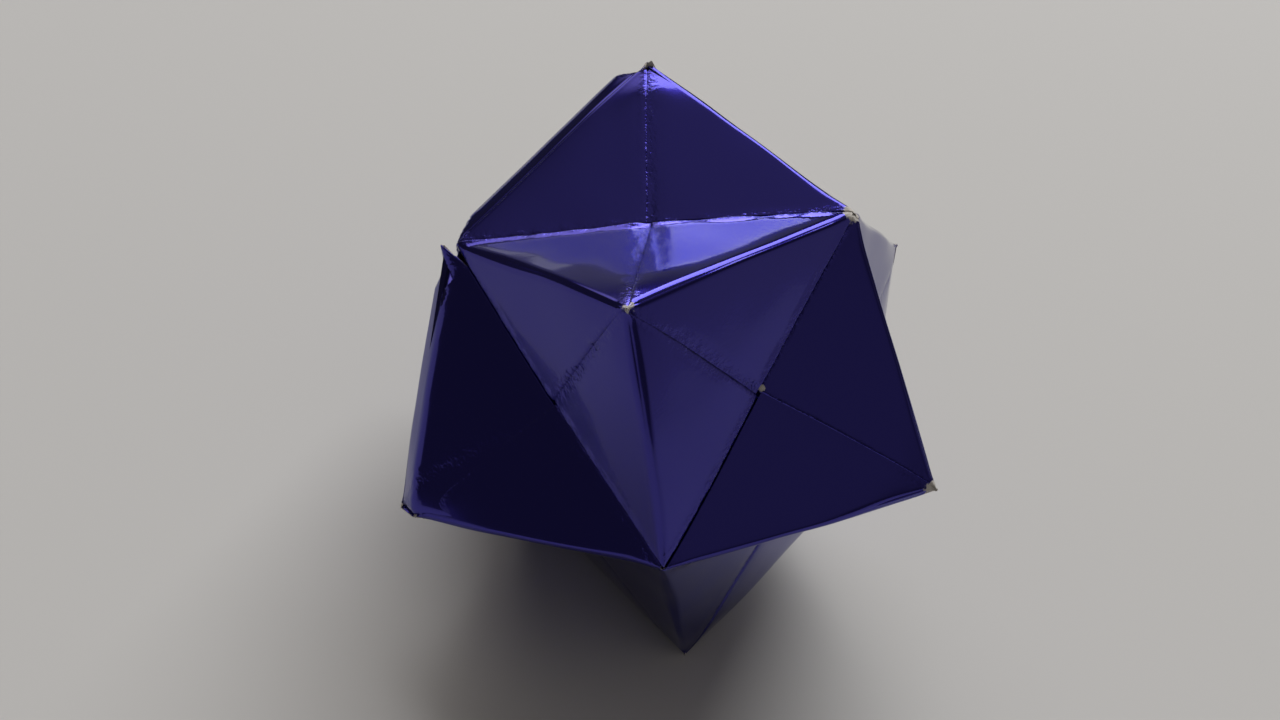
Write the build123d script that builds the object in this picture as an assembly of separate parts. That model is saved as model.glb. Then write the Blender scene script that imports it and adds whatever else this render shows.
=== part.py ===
from build123d import *
from enum import IntEnum
from math import atan, cos, sin, sqrt
import os

# A kusudama paper ball: twelve equal sheets of foil paper, each folded into a flat
# parallelogram with two pockets and two tabs, and slipped together tab into pocket.
# Each sheet bends along a valley between two three-sided pyramids, and its tabs run
# over a ridge of each. The ball is a cube-cornered pyramid on each face of an octahedron.

# One sheet, in millimetres, and the air that stays between two folded layers.
sheet_side = 100.0
paper_thickness = 0.10
layer_gap = 0.03

# Clearances where layers pass each other: at a ridge, beside a valley, between the two
# door edges on the centre line, and between the turned edges at a sharp corner.
ridge_gap = 0.06
valley_gap = 0.10
door_gap = 0.12
tip_gap = 0.20

# The creases divide the sheet so that a leg of a pyramid face is this long.
leg = sheet_side / (2 * sqrt(2))
layer_pitch = paper_thickness + layer_gap

# The layers of a pyramid face, counted from the inside out. The sheet that owns the face
# has the first four and the last one. The five between them are the tab of the next
# sheet, which the face's pocket holds.
Layer = IntEnum(
    "Layer",
    [
        "BACK",
        "LOWER_DOOR",
        "FLAP_UNDER",
        "FLAP_OVER",
        "TAB_BACK",
        "TAB_FLAP_UNDER",
        "TAB_FLAP_OVER",
        "TAB_CORNER",
        "TAB_DOOR",
        "UPPER_DOOR",
    ],
    start=0,
)


def inner(layer):
    """Distance from the ball's inner surface to the inside of a layer."""
    return layer * layer_pitch


def outer(layer):
    """Distance from the ball's inner surface to the outside of a layer."""
    return layer * layer_pitch + paper_thickness


# The seed sheet lies on the octahedron edge from +X to +Z. Its first pyramid is a
# corner of a cube: the three directions are the cube's axes at the pyramid's apex.
apex = Vector(1, 1, 1) * (leg * 2 / 3)
tab_normal = Vector(-1, 2, 2) / 3
face_normal = Vector(2, -1, 2) / 3
across = Vector(2, 2, -1) / 3

# The valley between the seed's two faces: the way it runs, the way out of the ball, and
# the angle by which each face rises from it.
valley_along = Vector(-1, 0, 1) / sqrt(2)
ball_outward = Vector(1, 0, 1) / sqrt(2)
valley_angle = atan(1 / (2 * sqrt(2)))


def valley_setback(layer):
    """How far a layer stays back from the valley, measured along the face."""
    reach = paper_thickness / 2 + valley_gap + outer(layer) * sin(valley_angle)
    return reach / cos(valley_angle)


# The layers in the pocket and the layers inside the tab end before the valley. The
# outermost fold of each kind stops at the ridge, and a fold inside it one layer back.
flap_setback = valley_setback(Layer.FLAP_OVER)
tab_setback = valley_setback(Layer.TAB_DOOR)
inside_tab_setback = tab_setback + layer_pitch
fold_edge = -ridge_gap
inner_fold_edge = fold_edge - layer_pitch

# The sharp corners are open: a layer ends this far from the octahedron's corner, so
# that the turned edges that meet there don't touch.
tip_cut = (inside_tab_setback + paper_thickness) * sqrt(2) + tip_gap
tip = leg - tip_cut


def face_point(u, w):
    """A point on the seed's first face, measured from the apex."""
    return apex + tab_normal * u + across * w


def tab_point(v, w):
    """A point on the face beyond the ridge, where the seed's tab lies."""
    return apex + face_normal * v + across * w


def prism(corners, direction, start, end):
    """Flat paper between two distances along the direction that it faces."""
    outline = Polyline(*[corner + direction * start for corner in corners], close=True)
    return extrude(make_face(outline), amount=end - start, dir=direction)


def on_face(outline, layer):
    """One layer of paper on the first face."""
    corners = [face_point(u, w) for u, w in outline]
    return prism(corners, face_normal, inner(layer), outer(layer))


def on_tab(outline, layer):
    """One layer of paper in the tab."""
    corners = [tab_point(v, w) for v, w in outline]
    return prism(corners, tab_normal, inner(layer), outer(layer))


def whole(ridge_reach, fold, setback):
    """Outline of a whole face, from its folded leg to the ridge that it crosses."""
    base = setback * sqrt(2) - tip_cut
    return [
        (ridge_reach, fold),
        (ridge_reach, -tip),
        (base, -tip),
        (-tip, base),
        (-tip, fold),
    ]


def ridge_half(ridge_reach, fold, setback):
    """Outline of the half face beside the ridge that it crosses."""
    middle = setback / sqrt(2) - leg / 2
    return [
        (fold + door_gap, fold),
        (ridge_reach, fold),
        (ridge_reach, -tip),
        (setback * sqrt(2) - tip_cut, -tip),
        (middle + door_gap / 2, middle - door_gap / 2),
    ]


def fold_half(fold, setback):
    """Outline of the half face beside its folded leg."""
    middle = setback / sqrt(2) - leg / 2
    return [
        (fold - door_gap, fold),
        (middle - door_gap / 2, middle + door_gap / 2),
        (-tip, setback * sqrt(2) - tip_cut),
        (-tip, fold),
    ]


def leg_fold(point_of, direction, fold, first, last):
    """The turned edge along a leg, which joins two layers."""
    turned = fold - paper_thickness
    corners = [
        point_of(fold, fold),
        point_of(-tip, fold),
        point_of(-tip, turned),
        point_of(fold, turned),
    ]
    return prism(corners, direction, inner(first), outer(last))


def base_fold(point_of, direction, setback, first, last):
    """The turned edge beside a valley, which joins two layers."""
    near = setback * sqrt(2) - tip_cut
    far = (setback + paper_thickness) * sqrt(2) - tip_cut
    corners = [
        point_of(near, -tip),
        point_of(-tip, near),
        point_of(-tip, far),
        point_of(far, -tip),
    ]
    return prism(corners, direction, inner(first), outer(last))


def face_paper():
    """The sheet's own layers on the first face, and the folds that join them."""
    over_back = outer(Layer.TAB_BACK)
    over_flap_under = outer(Layer.TAB_FLAP_UNDER)
    over_flap_over = outer(Layer.TAB_FLAP_OVER)
    over_door = outer(Layer.TAB_DOOR)
    return [
        on_face(whole(over_back, fold_edge, 0), Layer.BACK),
        on_face(fold_half(inner_fold_edge, 0), Layer.LOWER_DOOR),
        on_face(whole(over_flap_under, inner_fold_edge, flap_setback), Layer.FLAP_UNDER),
        on_face(whole(over_flap_over, fold_edge, flap_setback), Layer.FLAP_OVER),
        on_face(ridge_half(over_door, fold_edge, 0), Layer.UPPER_DOOR),
        leg_fold(face_point, face_normal, fold_edge, Layer.BACK, Layer.FLAP_OVER),
        leg_fold(face_point, face_normal, inner_fold_edge, Layer.LOWER_DOOR, Layer.FLAP_UNDER),
        base_fold(face_point, face_normal, flap_setback, Layer.FLAP_UNDER, Layer.FLAP_OVER),
    ]


def tab_paper():
    """The layers of the tab, which cross the ridge, and the folds that join them."""
    from_back = outer(Layer.BACK)
    from_flap_under = outer(Layer.FLAP_UNDER)
    from_flap_over = outer(Layer.FLAP_OVER)
    from_door = outer(Layer.UPPER_DOOR)
    inside = inside_tab_setback
    return [
        on_tab(whole(from_back, fold_edge, tab_setback), Layer.TAB_BACK),
        on_tab(ridge_half(from_flap_under, inner_fold_edge, inside), Layer.TAB_FLAP_UNDER),
        on_tab(whole(from_flap_over, fold_edge, inside), Layer.TAB_FLAP_OVER),
        on_tab(fold_half(fold_edge, inside), Layer.TAB_CORNER),
        on_tab(whole(from_door, fold_edge, tab_setback), Layer.TAB_DOOR),
        leg_fold(tab_point, tab_normal, fold_edge, Layer.TAB_BACK, Layer.TAB_FLAP_OVER),
        leg_fold(tab_point, tab_normal, fold_edge, Layer.TAB_CORNER, Layer.TAB_DOOR),
        base_fold(tab_point, tab_normal, tab_setback, Layer.TAB_BACK, Layer.TAB_DOOR),
    ]


def door_step():
    """The strip where a door drops through the valley into the pocket beyond it."""
    valley_height = leg / sqrt(2)
    low = valley_height + inner(Layer.LOWER_DOOR) / cos(valley_angle)
    high = valley_height + outer(Layer.UPPER_DOOR) / cos(valley_angle)
    start = door_gap / sqrt(2)
    end = valley_height - tip_cut * sqrt(2)
    corners = [
        ball_outward * low + valley_along * start,
        ball_outward * low + valley_along * end,
        ball_outward * high + valley_along * end,
        ball_outward * high + valley_along * start,
    ]
    return prism(corners, Vector(0, 1, 0), -paper_thickness / 2, paper_thickness / 2)


def folded_sheet():
    """One whole sheet. Its second half is the first one, turned over about its middle."""
    layers = face_paper() + tab_paper()
    this_side_of_valley = Pos(0, leg, 0) * Box(4 * leg, 2 * leg, 4 * leg)
    half = layers[0].fuse(*layers[1:]) & this_side_of_valley
    half += door_step()
    sheet_middle = Axis((0, 0, 0), ball_outward)
    return half + half.rotate(sheet_middle, 180)


# The ball rests on two ridges that meet below it. In its own frame, Z is up from the
# table and Y runs along the octahedron's one level diagonal.
resting = Plane(origin=(0, 0, 0), x_dir=(-2, 0, 1), z_dir=(1, 0, 2))
cube_diagonal = Axis((0, 0, 0), (1, 1, 1))

seed = folded_sheet()
sheets = []
for square in range(3):
    for side in range(4):
        sheet = seed.rotate(Axis.Y, 90 * side).rotate(cube_diagonal, 120 * square)
        sheets.append(resting.to_local_coords(sheet))

table_height = min(sheet.bounding_box().min.Z for sheet in sheets)

os.makedirs("parts", exist_ok=True)
for number, sheet in enumerate(sheets, start=1):
    name = f"folded_sheet_{number:02d}"
    standing = Pos(0, 0, -table_height) * sheet
    standing.label = name
    export_step(standing, f"parts/{name}.step")
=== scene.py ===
import math

import bmesh
import bpy
from mathutils import Matrix, Vector, noise


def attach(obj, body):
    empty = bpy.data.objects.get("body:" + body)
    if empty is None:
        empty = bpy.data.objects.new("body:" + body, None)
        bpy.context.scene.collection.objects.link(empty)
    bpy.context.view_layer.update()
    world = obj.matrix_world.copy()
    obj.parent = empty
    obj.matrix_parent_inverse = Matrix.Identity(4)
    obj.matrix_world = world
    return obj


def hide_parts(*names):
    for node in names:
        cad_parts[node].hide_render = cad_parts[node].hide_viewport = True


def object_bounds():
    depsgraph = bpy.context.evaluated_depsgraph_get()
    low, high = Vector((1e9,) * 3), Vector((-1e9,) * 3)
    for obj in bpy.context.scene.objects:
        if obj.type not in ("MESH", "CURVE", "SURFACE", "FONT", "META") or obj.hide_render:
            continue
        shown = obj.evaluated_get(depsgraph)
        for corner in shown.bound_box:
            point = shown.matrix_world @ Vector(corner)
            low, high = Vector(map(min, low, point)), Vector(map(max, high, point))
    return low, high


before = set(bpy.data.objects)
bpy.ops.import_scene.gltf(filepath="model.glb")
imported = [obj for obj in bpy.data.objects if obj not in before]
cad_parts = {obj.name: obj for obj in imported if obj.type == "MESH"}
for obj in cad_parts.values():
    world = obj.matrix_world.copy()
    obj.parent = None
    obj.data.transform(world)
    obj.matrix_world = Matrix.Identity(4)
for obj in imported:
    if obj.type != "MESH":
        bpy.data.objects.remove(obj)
cad_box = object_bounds()

# The folded sheets
# Twelve squares of violet foil laminated on thin white paper. Each is folded flat, with two
# pockets and two tabs, bent along one valley, and slipped with its tabs into its neighbours.
mm = 0.001
paper_thickness = 0.10 * mm
layer_pitch = 0.13 * mm

# A pyramid face is ten layers of paper, counted from the inside. The sheet that owns the
# face has the first four and the last one, and the five between are its neighbour's tab.
BACK, LOWER_DOOR, FLAP_UNDER, FLAP_OVER = 0, 1, 2, 3
TAB_BACK, TAB_FLAP_UNDER, TAB_FLAP_OVER, TAB_CORNER, TAB_DOOR = 4, 5, 6, 7, 8
UPPER_DOOR = 9

# The ball's own axes are those of an octahedron. They are turned to the row's frame, where
# the ball stands on two ridges.
ball_centre = (cad_box[0] + cad_box[1]) / 2
to_row_frame = Matrix((
    Vector((-2, 0, 1)) / math.sqrt(5),
    Vector((0, -1, 0)),
    Vector((1, 0, 2)) / math.sqrt(5),
))
to_own_axes = to_row_frame.transposed()

# A ridge is round, so the sharp edge that it would have lies a little below the floor. The
# leg is the length of a pyramid's ridge, from its apex to a corner of the octahedron.
ridge_radius = 0.80 * mm
ridge_sink = 0.3 * ridge_radius
leg = (ball_centre.z + ridge_sink) * math.sqrt(5) / 2

# Corners that the camera sees, in the ball's own axes and in legs: the apexes of five
# pyramids, and three corners of the octahedron, where the valleys meet.
top_apex = Vector((2, -2, 2)) / 3
front_apex = Vector((2, 2, 2)) / 3
left_apex = Vector((2, 2, -2)) / 3
right_apex = Vector((-2, 2, 2)) / 3
low_apex = Vector((-2, 2, -2)) / 3
left_corner = Vector((1, 0, 0))
front_corner = Vector((0, 1, 0))
right_corner = Vector((0, 0, 1))


def rows(*distances):
    """Distances in millimetres as fractions of a leg."""
    return [distance * mm / leg for distance in distances]


def cut_rows(panel, direction, distances):
    """Cuts a flat panel across a direction, at each distance along it."""
    for distance in distances:
        geometry = panel.verts[:] + panel.edges[:] + panel.faces[:]
        bmesh.ops.bisect_plane(
            panel, geom=geometry, dist=1e-6,
            plane_co=direction * distance, plane_no=direction)


def flat_panel(corners):
    """A flat panel, measured in legs. X crosses the ridge, and Y runs down along it."""
    panel = bmesh.new()
    panel.faces.new([panel.verts.new((x, y, 0)) for x, y in corners])
    return panel


across_ridge = Vector((1, 0, 0))
down_ridge = Vector((0, 1, 0))
to_valley = Vector((-1, 1, 0)).normalized()
to_tab_base = Vector((1, 1, 0)).normalized()
base_distance = 1 / math.sqrt(2)

# The outermost panel stays back from the middle of a face and from the sharp corners. Past
# the valley it runs on out of sight. The last value is the side of its small squares.
door_edge_gap = 0.15 * mm
tip_cut = 0.35 * mm
tuck = 1.1 * mm
grid_step = 0.75 * mm


def door_and_tab():
    """The outermost panel: half a face, over the ridge, and the whole face beyond it."""
    gap = door_edge_gap * math.sqrt(2) / leg
    tip = tip_cut / leg
    reach = tuck * math.sqrt(2) / leg
    panel = flat_panel([
        (gap, 0),
        (1 - tip, 0),
        (1 - tip, tip),
        (tip, 1 - tip),
        (-tip - reach, 1 - tip),
        ((gap - 1 - reach) / 2, (gap + 1 + reach) / 2),
    ])
    grid = grid_step / leg
    squares = math.ceil(1 / grid)
    cut_rows(panel, across_ridge, [grid * i for i in range(-squares, squares)])
    cut_rows(panel, down_ridge, [grid * i for i in range(1, squares)])

    # Closer rows lie where the paper bends: over the ridge, beside an apex, at the valley,
    # round the tab's end, at the middle crease and along the door's edge.
    over_ridge = rows(0.2, 0.4, 0.6, 0.75, 1.1, 1.3)
    cut_rows(panel, across_ridge, over_ridge + [-row for row in over_ridge])
    cut_rows(panel, down_ridge, rows(0.2, 0.4, 0.6))
    at_valley = rows(-0.5, -0.25, 0.0, 0.25, 0.5, 0.9, 1.3, 1.7)
    cut_rows(panel, to_valley, [base_distance - row for row in at_valley])
    at_tab_base = rows(0.06, 0.12, 0.18, 0.24, 0.3, 0.4, 0.6, 0.9, 1.3, 1.7)
    cut_rows(panel, to_tab_base, [base_distance - row for row in at_tab_base])
    cut_rows(panel, to_valley, rows(-1.3, -0.8, -0.4, 0.0, 0.4, 0.8, 1.3))
    cut_rows(panel, to_tab_base, rows(0.22, 0.3, 0.4, 0.7, 1.1, 1.6))
    bmesh.ops.triangulate(panel, faces=[face for face in panel.faces if len(face.verts) > 4])
    return panel


# The hidden panels end before the sharp corners, their folded legs and the valley.
hidden_tip_cut = 1.3 * mm
hidden_fold_setback = 1.1 * mm
hidden_base_setback = 0.9 * mm


def hidden_panels():
    """Half a sheet's five other panels, each with its layer on the face and in the tab."""
    tip = hidden_tip_cut / leg
    fold = hidden_fold_setback / leg
    base = hidden_base_setback * math.sqrt(2) / leg
    whole = [
        (-1 + tip, fold), (1 - tip, fold), (1 - tip, tip),
        (tip, 1 - tip), (-tip, 1 - tip), (-1 + tip, tip),
    ]
    set_back = [
        (-1 + tip + base, fold), (1 - tip - base, fold), (1 - tip - base, tip),
        (tip, 1 - tip - base), (-tip, 1 - tip - base), (-1 + tip + base, tip),
    ]
    flap_under = [
        (-1 + tip + base, fold), (0, fold), (0.5 - base / 2, 0.5 - base / 2),
        (tip, 1 - tip - base), (-tip, 1 - tip - base), (-1 + tip + base, tip),
    ]
    lower_door = [(-1 + tip, fold), (-2 * fold, fold), (-0.5, 0.5), (-1 + tip, tip)]
    tab_corner = [
        (2 * fold, fold), (1 - tip - base, fold), (1 - tip - base, tip),
        (0.5 - base / 2, 0.5 - base / 2),
    ]
    return [
        (whole, BACK, TAB_BACK),
        (lower_door, LOWER_DOOR, LOWER_DOOR),
        (flap_under, FLAP_UNDER, TAB_FLAP_UNDER),
        (set_back, FLAP_OVER, TAB_FLAP_OVER),
        (tab_corner, TAB_CORNER, TAB_CORNER),
    ]


# The seed sheet's first pyramid is a corner of a cube. Its apex and the cube's three axes
# there: out of the tab's face, out of the first face, and up along the ridge.
apex = Vector((1, 1, 1)) * (leg * 2 / 3)
cube_axes = Matrix((Vector((-1, 2, 2)) / 3, Vector((2, -1, 2)) / 3, Vector((2, 2, -1)) / 3))
cube_axes.transpose()


def smooth(x):
    """A soft step from 0 to 1."""
    x = min(max(x, 0), 1)
    return x * x * (3 - 2 * x)


def nearness(place, corner):
    """One at a corner, falling to nothing a leg away from it."""
    return max(1 - (place - corner * leg).length / leg, 0)


# Stacked paper bulges between the ridges and the crease down the middle of a face. Where a
# ridge nears its apex it is soft and sinks in. The groove is half as deep as the bulge, and
# the widths beside a ridge and the middle crease are parts of a leg.
bulge_height = 0.26 * mm
ridge_side_width = 0.07
groove_depth = 0.5
groove_width = 0.04
soft_end_depth = 0.45 * mm
soft_end_width = 4.5 * mm
soft_end_length = 13 * mm


def bulge(side, down, softness):
    """How far the stacked paper stands proud at a place on a face, in metres."""
    rise = bulge_height
    for distance in (side, down):
        rise *= 1 - math.exp(-max(distance, 0) / ridge_side_width)
    rise *= 1 - groove_depth * math.exp(-((side - down) / groove_width) ** 2)
    from_ridge, from_apex = sorted((side * leg, down * leg))
    soft_end = smooth(1 - from_ridge / soft_end_width) * smooth(1 - from_apex / soft_end_length)
    return rise - soft_end_depth * softness * soft_end


# The creases are finely crinkled, in waves of about 2 mm. Waves are counted to the metre.
crease_width = 1.0 * mm
crinkle_height = 0.08 * mm
crinkle_waves = 550


def near_crease(side, down):
    """One on a pressed crease, falling to nothing beside it."""
    from_valley = (1 - abs(side) - down) / math.sqrt(2)
    from_middle = (abs(side) - down) / math.sqrt(2)
    nearest = min(abs(from_valley), abs(from_middle)) * leg
    return math.exp(-(nearest / crease_width) ** 2)


# The outermost panel turns in at its edges. The door dips into the valley and rolls in along
# its free edge. The tab's folded leg dips to stay inside the next ridge, and most of all in
# front, where the ridges are rounder.
valley_dip = 0.22 * mm
valley_reach = 0.35 * mm
door_roll = 0.28 * mm
door_roll_width = 0.50 * mm
tab_leg_dip = 0.60 * mm
tab_leg_reach = 1.3 * mm
from_own_ridge = 1.2 * mm
deeper_in_front = 0.9


def edge_dip(side, down, near_front):
    """How far the outermost panel lies in at its edges, in metres."""
    if side > 0:
        dip = smooth(1 - down * leg / tab_leg_reach) * smooth(side * leg / from_own_ridge)
        return tab_leg_dip * dip * (1 + deeper_in_front * near_front)
    from_valley = (1 + side - down) / math.sqrt(2) * leg
    from_edge = (side + down) / math.sqrt(2) * leg - door_edge_gap
    roll = door_roll * max(1 - from_edge / door_roll_width, 0) ** 2
    return valley_dip * smooth((valley_reach - from_valley) / (2 * valley_reach)) + roll


# The tab ends at a fold beside the valley, where the paper wraps round and under.
tab_edge_radius = 0.13 * mm
tab_edge_setback = 0.32 * mm


def wrap_tab_edge(side, down):
    """Wraps the end of the tab round its fold: the new place, and how far it lies in."""
    from_base = (1 - side - down) / math.sqrt(2) * leg
    if side <= 0 or from_base >= tab_edge_setback:
        return side, down, 0
    turned = min((tab_edge_setback - from_base) / tab_edge_radius, math.pi)
    edge = tab_edge_setback - tab_edge_radius * math.sin(turned)
    moved = (edge - from_base) / math.sqrt(2) / leg
    return side - moved, down - moved, tab_edge_radius * (1 - math.cos(turned))


def tight_ridge(side, face_depth, tab_depth, w, radius):
    """A place on a ridge that is pulled tight, and the way out of the paper there."""
    if side <= 0:
        u = -tab_depth + side * (leg - 0.5 * face_depth - tab_depth)
        v = -face_depth
    else:
        u = -tab_depth
        v = -face_depth - side * (leg - 0.5 * tab_depth - face_depth)
    inside = Vector((-tab_depth - radius, -face_depth - radius, -radius))
    past = Vector((max(u - inside.x, 0), max(v - inside.y, 0), max(w - inside.z, 0)))
    outward = past.normalized()
    place = Vector((min(u, inside.x), min(v, inside.y), min(w, inside.z)))
    return place + outward * radius, outward


def slack_line(over, width, bend, span):
    """How far a slack ridge reaches out and back, at a distance over it."""
    out, back = math.cos(bend), -math.sin(bend)
    if over < 0:
        return Vector((over, 0))
    if over < width:
        return Vector((over * out, over * back))
    rest = min((over - width) / (span - width), 1)
    past_valley = max(over - span, 0)
    return Vector((
        width * out * (1 - rest) ** 2,
        width * back * (1 - rest) - span * rest - past_valley))


# A slack strip takes up at most this part of the way to the valley, which shrinks to the
# least span at a sharp corner. A strip that comes over from the tab fades out on the tab's
# side, and its creases are the mean of these steps before and after a place.
widest_strip = 0.75
least_span = 0.1 * mm
strip_fade = 1.4
soft_steps = (1, 2, 3, 4)


def slack_ridge(side, depth, w, soft, width, bend, over_tab):
    """A place on a slack ridge, and the way out of the paper there."""
    span = max(leg + w, least_span)
    width = min(width, widest_strip * span)
    over = side * leg
    if over_tab and side < 0:
        over = width - side * leg * (1 - width / span)
    elif over_tab:
        over = width * smooth(1 - strip_fade * side * leg / span) - side * leg
    before, after = Vector((0, 0)), Vector((0, 0))
    for step in soft_steps:
        before += slack_line(over - soft * step, width, bend, span)
        after += slack_line(over + soft * step, width, bend, span)
    middle = (before + after) / (2 * len(soft_steps))
    run = (after - before).normalized()
    place = Vector((middle.x, middle.y, w))
    outward = Vector((-run.y, run.x, 0))
    if over_tab:
        place, outward = place.yxz, outward.yxz
    return place - outward * depth, outward


# The top valley is pinched up in front, in a crest that comes and goes.
pinch_height = 0.40 * mm
pinch_width = 1.7 * mm
pinch_front = 0.3 * mm
pinch_change = 1.2
pinch_waves = 320

# Corners that are pressed blunt, and how far. A little of what is pressed springs back.
blunt_corners = [
    (top_apex, 1.0 * mm),
    (front_apex, 0.35 * mm),
    (right_apex, 0.80 * mm),
    (left_apex, 0.40 * mm),
    (right_corner, 0.70 * mm),
]
pressed_in = 0.85

# The ball isn't quite regular. Each corner here stands off its place by these millimetres
# in the row's frame, and takes the paper round it along.
pulled_corners = [
    (top_apex, Vector((-0.28, 0.2, 1.5))),
    (front_apex, Vector((-0.91, -0.32, -0.48))),
    (left_apex, Vector((0.67, -0.18, -1.2))),
    (low_apex, Vector((-0.6, -1.4, 0.0))),
    (right_apex, Vector((0.95, -0.24, -0.1))),
    (front_corner, Vector((-0.17, 0.70, 0.69))),
    (left_corner, Vector((0.41, -0.48, -0.42))),
    (right_corner, Vector((0.59, 0.03, 0.12))),
]
pull_reach = 0.9 * leg

# The whole ball is a little warped, in waves of about 20 mm and 9 mm. The warp is random,
# and is seeded so that each run folds the same ball.
warp = 0.24 * mm
warp_waves = 48
ripple = 0.10 * mm
ripple_waves = 115
noise.seed_set(1)


def handled(place):
    """Where a place on the folded ball lies after it is pinched, pressed, pulled and warped."""
    from_top_valley = math.hypot(place.y, (place.x + place.z - leg) / math.sqrt(2))
    pinch = smooth(place.y / pinch_front) * max(1 - from_top_valley / pinch_width, 0) ** 1.5
    pinch *= 1 + pinch_change * noise.noise(place * pinch_waves)
    place += Vector((1, 0, 1)).normalized() * pinch_height * pinch
    for corner, depth in blunt_corners:
        past = place.dot(corner.normalized()) - corner.length * leg + depth
        place -= corner.normalized() * pressed_in * max(past, 0)
    for corner, shift in pulled_corners:
        near = max(1 - (place - corner * leg).length / pull_reach, 0)
        place += to_own_axes @ shift * mm * near ** 2
    place += warp * noise.noise_vector(place * warp_waves)
    return place + ripple * noise.noise_vector(place * ripple_waves)


# The ridges' roundness varies along them, in waves of about 14 mm. They are rounder towards
# the apex in front, tighter at both ends, and soft at the top. Hidden folds are sharp.
round_change = 0.9
round_waves = 70
rounder_in_front = 0.9
round_end_share = 0.4
softer_at_top = 0.7
hidden_radius = 0.05 * mm
apex_end = 2.5 * mm
corner_end = 5 * mm

# The creases of a slack strip are soft, and at the apex its tip hangs a little lower.
slack_crease = 0.14 * mm
slack_end_share = 0.3
slack_tip_drop = 0.45 * mm
slack_tip_length = 1.0 * mm


def less_at_ends(end_share, off_end):
    """One along a ridge, down to a smaller share at its ends."""
    return end_share + (1 - end_share) * off_end


def fold_point(flat, face_layer, tab_layer, turn, slack):
    """Where a point of a flat panel lies once it is folded, in the ball's own axes."""
    side, down = flat.x, flat.y
    face_depth = (UPPER_DOOR - face_layer) * layer_pitch
    tab_depth = (UPPER_DOOR - tab_layer) * layer_pitch
    outermost = tab_layer == TAB_DOOR
    on_ridge = turn @ (apex - cube_axes @ Vector((0, 0, down * leg)))
    on_face = turn @ (apex - cube_axes @ Vector((0, side * leg, down * leg)))
    height = bulge(abs(side), down, 1 + softer_at_top * nearness(on_ridge, top_apex))
    crease = near_crease(side, down)
    if outermost:
        height -= edge_dip(side, down, nearness(on_face, front_apex))
        side, down, turned_in = wrap_tab_edge(side, down)
        height -= turned_in
    depth = face_depth if side < 0 else tab_depth
    w = -down * (leg - 0.5 * depth)
    off_end = smooth(min(down * leg / apex_end, (1 - down) * leg / corner_end))
    if slack:
        width, bend, tight_length, over_tab = slack
        w -= slack_tip_drop * math.exp(-down * leg / slack_tip_length)
        width *= smooth(2 * down * leg / tight_length - 1)
        soft = slack_crease * less_at_ends(slack_end_share, off_end)
        place, outward = slack_ridge(side, depth, w, soft, width, bend, over_tab)
    else:
        radius = hidden_radius
        if outermost:
            radius = ridge_radius * math.exp(round_change * noise.noise(on_ridge * round_waves))
            radius *= 1 + rounder_in_front * nearness(on_ridge, front_apex)
            radius *= less_at_ends(round_end_share, off_end)
        place, outward = tight_ridge(side, face_depth, tab_depth, w, radius)
    crinkle = noise.noise(turn @ (apex + cube_axes @ place) * crinkle_waves)
    place += outward * (height + crinkle_height * crease * crinkle)
    return handled(turn @ (apex + cube_axes @ place))


# At the worn places the white paper shows. Each is given with the size of its white patch.
# All are corners but the third, which is near the middle of the valley on the right.
worn_places = [
    (front_apex, 1.5 * mm),
    (right_apex, 1.4 * mm),
    (Vector((0, 0.488, 0.512)), 0.40 * mm),
    (right_corner, 1.2 * mm),
    (left_corner, 0.45 * mm),
    (front_corner, 0.9 * mm),
    (left_apex, 0.5 * mm),
]
wear_fade = 1.6


def wear_at(place):
    """How worn the foil is: one at a bare place, falling to nothing round it."""
    worn = 0
    for bare_place, size in worn_places:
        distance = (place - bare_place * leg).length
        worn = max(worn, math.exp(-(distance / (wear_fade * size)) ** 2))
    return worn


# One sheet's tip has come out at the left corner, by these distances in the row's frame.
loose_sheet = "foil_sheet_02"
loose_tip = Vector((-2.4, -0.6, 0.2)) * mm
loose_length = 4.5 * mm

# The hidden panels are cut only where they cross the ridge, since the rest of them is flat.
half_turn = Matrix.Rotation(math.pi, 3, Vector((1, 0, 1)))
outer_panel = door_and_tab()
inner_panels = [(flat_panel(outline), face, tab) for outline, face, tab in hidden_panels()]
for panel, _, _ in inner_panels:
    cut_rows(panel, across_ridge, rows(-12, -8, -5, -3, -1, 0, 1, 3, 5, 8, 12))

# Points closer than this are joined. The paper's wall grows to its inner side, so where the
# outside faces up, it needs room above the floor.
weld_distance = 0.005 * mm
room_for_wall = 1.5 * paper_thickness


def folded_sheet(name, turn, slacks):
    """One sheet, folded, with its two halves on either side of the valley."""
    sheet = bmesh.new()
    uv = sheet.loops.layers.uv.new("flat_sheet")
    wear = sheet.verts.layers.float.new("wear")
    panels = [(outer_panel, UPPER_DOOR, TAB_DOOR)] + inner_panels
    for half, slack in zip((Matrix.Identity(3), half_turn), slacks):
        for panel, face_layer, tab_layer in panels:
            vertices = {}
            for flat in panel.verts:
                place = fold_point(flat.co, face_layer, tab_layer, turn @ half, slack)
                loose = max(1 - (place - left_corner * leg).length / loose_length, 0)
                place = ball_centre + to_row_frame @ place
                if name == loose_sheet:
                    place += loose_tip * loose
                place.z = max(place.z, 0)
                vertices[flat] = sheet.verts.new(place)
                vertices[flat][wear] = wear_at(to_own_axes @ (place - ball_centre))
            for flat_face in panel.faces:
                face = sheet.faces.new([vertices[flat] for flat in flat_face.verts])
                face.smooth = True
                for loop, flat in zip(face.loops, flat_face.verts):
                    loop[uv].uv = flat.co.xy
    bmesh.ops.remove_doubles(sheet, verts=sheet.verts, dist=weld_distance)
    sheet.normal_update()
    for vertex in sheet.verts:
        if vertex.normal.z > 0:
            vertex.co.z = max(vertex.co.z, room_for_wall)
    mesh = bpy.data.meshes.new(name)
    sheet.to_mesh(mesh)
    sheet.free()
    piece = bpy.data.objects.new(name, mesh)
    bpy.context.scene.collection.objects.link(piece)
    return piece


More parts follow.
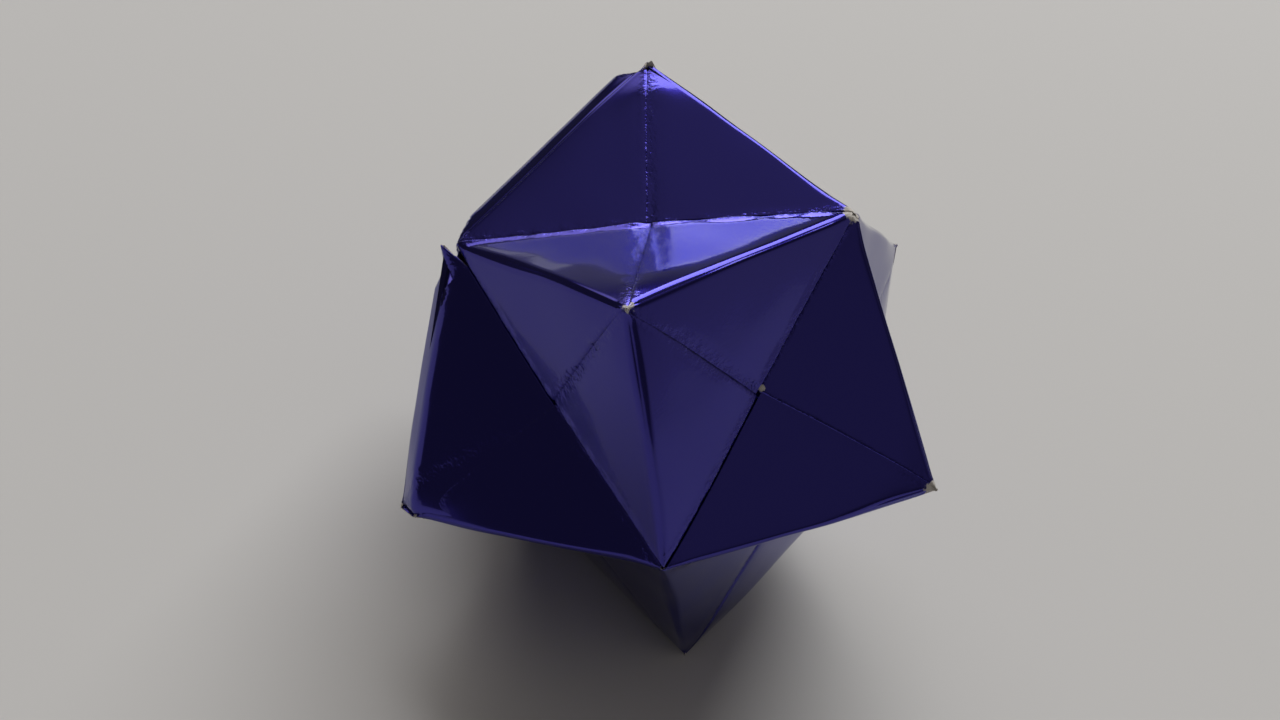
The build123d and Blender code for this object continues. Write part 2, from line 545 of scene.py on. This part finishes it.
def linear(hex_colour):
    """An sRGB hex colour as linear red, green, blue and alpha."""
    values = [int(hex_colour[i:i + 2], 16) / 255 for i in (1, 3, 5)]
    return [v / 12.92 if v <= 0.04045 else ((v + 0.055) / 1.055) ** 2.4 for v in values] + [1]


def add_node(owner, kind, settings={}, **links):
    """Adds a node. Inputs go by name, or by number as in0, and take a value or an output."""
    node = owner.node_tree.nodes.new(kind)
    for name, value in settings.items():
        setattr(node, name, value)
    for name, value in links.items():
        key = int(name[2:]) if name.startswith("in") else name.replace("_", " ")
        if isinstance(value, bpy.types.NodeSocket):
            owner.node_tree.links.new(value, node.inputs[key])
        else:
            node.inputs[key].default_value = value
    return node


# Violet metallised film on paper: a dark mirror under a clear lacquer, which adds a second,
# paler gloss. The tint keeps it dark and violet where it is seen at a low angle. The flat
# sheet's own map says how far a place is from the valley and from the middle crease.
violet_film = linear("#2C2587")
film_roughness = 0.15
white_paper = linear("#C9C4BC")
paper_roughness = 0.9
foil = bpy.data.materials.new("violet_foil")
foil.use_nodes = True
flat_place = add_node(foil, "ShaderNodeUVMap", {"uv_map": "flat_sheet"})
crossing = add_node(foil, "ShaderNodeSeparateXYZ", Vector=flat_place.outputs["UV"])
side_size = add_node(foil, "ShaderNodeMath", {"operation": "ABSOLUTE"}, in0=crossing.outputs["X"])
along = add_node(
    foil, "ShaderNodeMath", {"operation": "ADD"}, in0=side_size.outputs[0],
    in1=crossing.outputs["Y"])
from_base = add_node(
    foil, "ShaderNodeMath", {"operation": "SUBTRACT"}, in0=along.outputs[0], in1=1.0)
base_size = add_node(foil, "ShaderNodeMath", {"operation": "ABSOLUTE"}, in0=from_base.outputs[0])
apart = add_node(
    foil, "ShaderNodeMath", {"operation": "SUBTRACT"}, in0=side_size.outputs[0],
    in1=crossing.outputs["Y"])
middle_size = add_node(foil, "ShaderNodeMath", {"operation": "ABSOLUTE"}, in0=apart.outputs[0])
nearest = add_node(
    foil, "ShaderNodeMath", {"operation": "MINIMUM"}, in0=base_size.outputs[0],
    in1=middle_size.outputs[0])

# Along the creases the film is crazed, and elsewhere hardly at all. Real crazing is finer:
# it is drawn as coarse as it needs to be to show.
crazed_width = 1.8 * mm
crazed_elsewhere = 0.03
crazing_size = 0.8 * mm
crazing_depth = 0.12 * mm
creased = add_node(
    foil, "ShaderNodeMapRange", {"interpolation_type": "SMOOTHSTEP"}, Value=nearest.outputs[0],
    From_Max=crazed_width * math.sqrt(2) / leg, To_Min=1.0, To_Max=crazed_elsewhere)
own_place = add_node(foil, "ShaderNodeTexCoord")
crazing = add_node(
    foil, "ShaderNodeTexNoise", Vector=own_place.outputs["Object"], Scale=1 / crazing_size,
    Detail=3.0, Roughness=0.6)
crazed = add_node(
    foil, "ShaderNodeMath", {"operation": "MULTIPLY"}, in0=crazing.outputs[0],
    in1=creased.outputs[0])
relief = add_node(
    foil, "ShaderNodeBump", Strength=1.0, Distance=crazing_depth, Height=crazed.outputs[0])

# At the worn places the film is gone, down to the rough white paper. The same crazing makes
# their edges ragged.
raggedness = 0.9
first_bare = 1.0
all_bare = 1.15
wear = add_node(foil, "ShaderNodeAttribute", {"attribute_name": "wear"})
ragged = add_node(
    foil, "ShaderNodeMath", {"operation": "MULTIPLY_ADD"}, in0=crazing.outputs[0],
    in1=raggedness, in2=wear.outputs["Fac"])
bare = add_node(
    foil, "ShaderNodeMapRange", {"interpolation_type": "SMOOTHSTEP"}, Value=ragged.outputs[0],
    From_Min=first_bare, From_Max=all_bare)
colour = add_node(
    foil, "ShaderNodeMix", {"data_type": "RGBA"}, in0=bare.outputs[0], in6=violet_film,
    in7=white_paper)
film_left = add_node(
    foil, "ShaderNodeMapRange", Value=bare.outputs[0], To_Min=1.0, To_Max=0.0)
roughness = add_node(
    foil, "ShaderNodeMapRange", Value=bare.outputs[0], To_Min=film_roughness,
    To_Max=paper_roughness)
foil_shader = foil.node_tree.nodes["Principled BSDF"]
foil_shader.inputs["Coat Roughness"].default_value = 0.05
foil_shader.inputs["Coat IOR"].default_value = 1.36
foil_shader.inputs["Specular Tint"].default_value = (0.30, 0.30, 0.56, 1)
for socket, node in {
    "Base Color": colour.outputs[2],
    "Metallic": film_left.outputs[0],
    "Roughness": roughness.outputs[0],
    "Coat Weight": film_left.outputs[0],
    "Normal": relief.outputs[0],
    "Coat Normal": relief.outputs[0],
}.items():
    foil.node_tree.links.new(node, foil_shader.inputs[socket])

# The paper's bare white back and its cut edge: rough, with hardly any gloss.
bare_paper = bpy.data.materials.new("bare_white_paper")
bare_paper.use_nodes = True
paper_shader = bare_paper.node_tree.nodes["Principled BSDF"]
paper_shader.inputs["Base Color"].default_value = white_paper
paper_shader.inputs["Roughness"].default_value = paper_roughness

# Most ridges are pulled tight. Two are slack: past the ridge the paper bends by less than
# the corner, and runs on to its own crease. The values are that width, the bend, the
# length that stays tight beside the apex, and whether the paper comes over from the tab.
slack_halves = {
    "foil_sheet_01": (None, (3.4 * mm, math.radians(34), 4.5 * mm, False)),
    "foil_sheet_02": ((5.1 * mm, math.radians(42), 0.1 * mm, True), None),
}

# The octahedron's edges are three squares, and one sheet lies along each of their sides.
# The paper's wall is foil on its outside and white paper on its inside and edge.
cube_diagonal = Vector((1, 1, 1))
number = 0
for square in range(3):
    for side in range(4):
        number += 1
        turn = Matrix.Rotation(math.radians(120 * square), 3, cube_diagonal)
        turn = turn @ Matrix.Rotation(math.radians(90 * side), 3, "Y")
        name = f"foil_sheet_{number:02d}"
        sheet = folded_sheet(name, turn, slack_halves.get(name, (None, None)))
        sheet.data.materials.append(foil)
        sheet.data.materials.append(bare_paper)
        shell = sheet.modifiers.new("paper", "SOLIDIFY")
        shell.thickness = paper_thickness
        shell.offset = -1
        shell.material_offset = 1
        shell.material_offset_rim = 1
        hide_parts(f"folded_sheet_{number:02d}")
        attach(sheet, "root")

# The floor
# A plain pale matt surface under the ball, larger than the view. It isn't part of the object.
floor_mesh = bmesh.new()
bmesh.ops.create_grid(floor_mesh, x_segments=1, y_segments=1, size=1.5)
floor_data = bpy.data.meshes.new("floor")
floor_mesh.to_mesh(floor_data)
floor_mesh.free()
floor = bpy.data.objects.new("floor", floor_data)
bpy.context.scene.collection.objects.link(floor)
floor_finish = bpy.data.materials.new("pale_matt_floor")
floor_finish.use_nodes = True
floor_shader = floor_finish.node_tree.nodes["Principled BSDF"]
floor_shader.inputs["Base Color"].default_value = linear("#CECDCB")
floor_shader.inputs["Roughness"].default_value = 0.8
floor_shader.inputs["Specular IOR Level"].default_value = 0.2
floor_data.materials.append(floor_finish)

# The camera
# A close view from above the ball's front. Its place and turn were solved from where the
# ball's corners are seen. The place is given from the ball's centre, in legs.
camera_data = bpy.data.cameras.new("camera")
camera = bpy.data.objects.new("camera", camera_data)
bpy.context.scene.collection.objects.link(camera)
camera.location = ball_centre + Vector((-0.7334, -3.8257, 3.7267)) * leg
camera.rotation_euler = [math.radians(angle) for angle in (45.040, -11.783, 2.447)]
camera_data.sensor_width = 36
camera_data.lens = 39.25
camera_data.clip_start = 0.01
bpy.context.scene.camera = camera

# The light
# One large soft lamp high behind the ball, aimed at it. The dim room round the ball glows
# softly in five places, which the foil mirrors.
lamp_data = bpy.data.lights.new("lamp", "AREA")
lamp_data.shape = "RECTANGLE"
lamp_data.size = 2.5
lamp_data.size_y = 1.8
lamp_data.energy = 68
lamp = bpy.data.objects.new("lamp", lamp_data)
bpy.context.scene.collection.objects.link(lamp)
lamp.location = (0.30, 2.00, 1.95)
lamp.rotation_euler = (-lamp.location).to_track_quat("-Z", "Y").to_euler()

# Each glow has its direction in the row's frame, the cosine at its edge, and its strength,
# which adds to the room's own: overhead, high behind, level behind, at the right, and
# above the camera.
room_glows = [
    ((-0.13, 0.22, 0.97), 0.74, 0.33),
    ((-0.37, 0.75, 0.55), 0.93, 3.00),
    ((-0.20, 0.98, -0.02), 0.93, 0.30),
    ((0.97, -0.19, 0.12), 0.80, 0.32),
    ((0.25, -0.61, 0.75), 0.80, 0.14),
]
room = bpy.data.worlds.new("room")
bpy.context.scene.world = room
room.use_nodes = True
direction = add_node(room, "ShaderNodeTexCoord")
brightness = 0.11
for glow_direction, edge, strength in room_glows:
    toward = add_node(
        room, "ShaderNodeVectorMath", {"operation": "DOT_PRODUCT"},
        in0=direction.outputs["Generated"], in1=glow_direction)
    glow = add_node(
        room, "ShaderNodeMapRange", {"interpolation_type": "SMOOTHSTEP"},
        Value=toward.outputs["Value"], From_Min=edge, From_Max=1.0, To_Max=strength)
    total = add_node(room, "ShaderNodeMath", in0=glow.outputs[0], in1=brightness)
    brightness = total.outputs[0]
background = room.node_tree.nodes["Background"]
background.inputs["Color"].default_value = linear("#DAD4D0")
room.node_tree.links.new(brightness, background.inputs["Strength"])

bpy.context.scene.view_settings.view_transform = "Standard"
